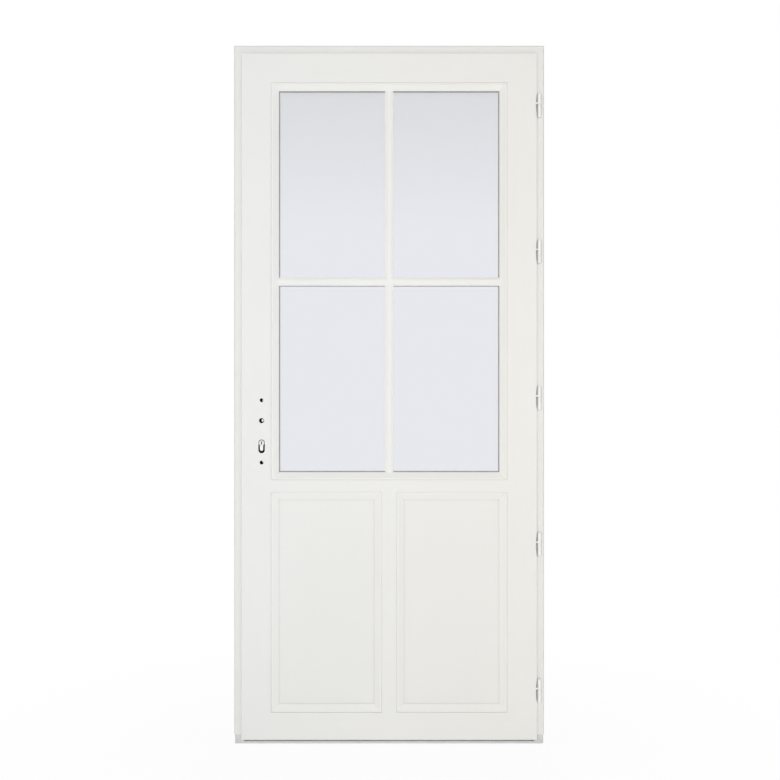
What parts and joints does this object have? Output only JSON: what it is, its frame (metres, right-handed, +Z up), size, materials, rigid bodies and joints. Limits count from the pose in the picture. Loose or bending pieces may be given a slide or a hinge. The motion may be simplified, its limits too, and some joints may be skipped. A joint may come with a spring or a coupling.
{
  "type": "entrance door",
  "caption": "White painted timber entrance door in its frame: a leaf glazed above with crossing bars and panelled below, hung on barrel hinges over a low metal threshold.",
  "frame": {"origin": "on the floor, at the middle of the threshold's underside", "axes": "+Z up, +Y out of the building through the door, -Y into the room; +X towards the hinges"},
  "size_m": [0.974, 0.086, 2.193],
  "materials": {
    "white_painted_wood": "satin white paint",
    "clear_glass": "clear",
    "spacer_metal": "mill",
    "glazing_rubber": "matt",
    "frame_rubber": "matt",
    "threshold_metal": "anodised",
    "grey_plastic": "moulded",
    "lock_steel": "zinc plated",
    "cylinder_metal": "nickel plated",
    "hinge_white": "white coated"
  },
  "bodies": {
    "frame": {"hinge_jamb": "white_painted_wood", "lock_jamb": "white_painted_wood", "frame_head": "white_painted_wood", "threshold": "threshold_metal", "threshold_end_blocks": "grey_plastic", "frame_seal": "frame_rubber", "strike_plate": "lock_steel", "hinge_1_frame_half": "hinge_white", "hinge_2_frame_half": "hinge_white", "hinge_3_frame_half": "hinge_white", "hinge_4_frame_half": "hinge_white", "hinge_5_frame_half": "hinge_white"},
    "leaf": {"hinge_stile": "white_painted_wood", "lock_stile": "white_painted_wood", "top_rail": "white_painted_wood", "middle_rail": "white_painted_wood", "bottom_rail": "white_painted_wood", "panel_mullion": "white_painted_wood", "left_panel": "white_painted_wood", "right_panel": "white_painted_wood", "left_panel_bead_rails": "white_painted_wood", "left_panel_bead_stiles": "white_painted_wood", "right_panel_bead_rails": "white_painted_wood", "right_panel_bead_stiles": "white_painted_wood", "glazing_bead_rails": "white_painted_wood", "glazing_bead_stiles": "white_painted_wood", "glazing_bars_inside": "white_painted_wood", "glazing_bars_outside": "white_painted_wood", "weather_bar": "white_painted_wood", "inner_glass": "clear_glass", "outer_glass": "clear_glass", "glass_spacer": "spacer_metal", "glazing_seals": "glazing_rubber", "lock_faceplate": "lock_steel", "lock_case": "lock_steel", "spindle_follower": "lock_steel", "latch_bolt": "cylinder_metal", "dead_bolt": "cylinder_metal", "lock_cylinder": "cylinder_metal", "hinge_1_leaf_half": "hinge_white", "hinge_2_leaf_half": "hinge_white", "hinge_3_leaf_half": "hinge_white", "hinge_4_leaf_half": "hinge_white", "hinge_5_leaf_half": "hinge_white"},
    "key_plug": {"key_plug": "cylinder_metal"}
  },
  "joints": [
    {"name": "leaf_swing", "type": "hinge", "parent": "frame", "child": "leaf", "pos_m": [0.471, -0.039, 0], "axis": [0, 0, 1], "range_deg": [0, 170]},
    {"name": "key_turn", "type": "hinge", "parent": "leaf", "child": "key_plug", "pos_m": [-0.399, -0.046, 0.9445], "axis": [0, -1, 0], "continuous": true}
  ]
}
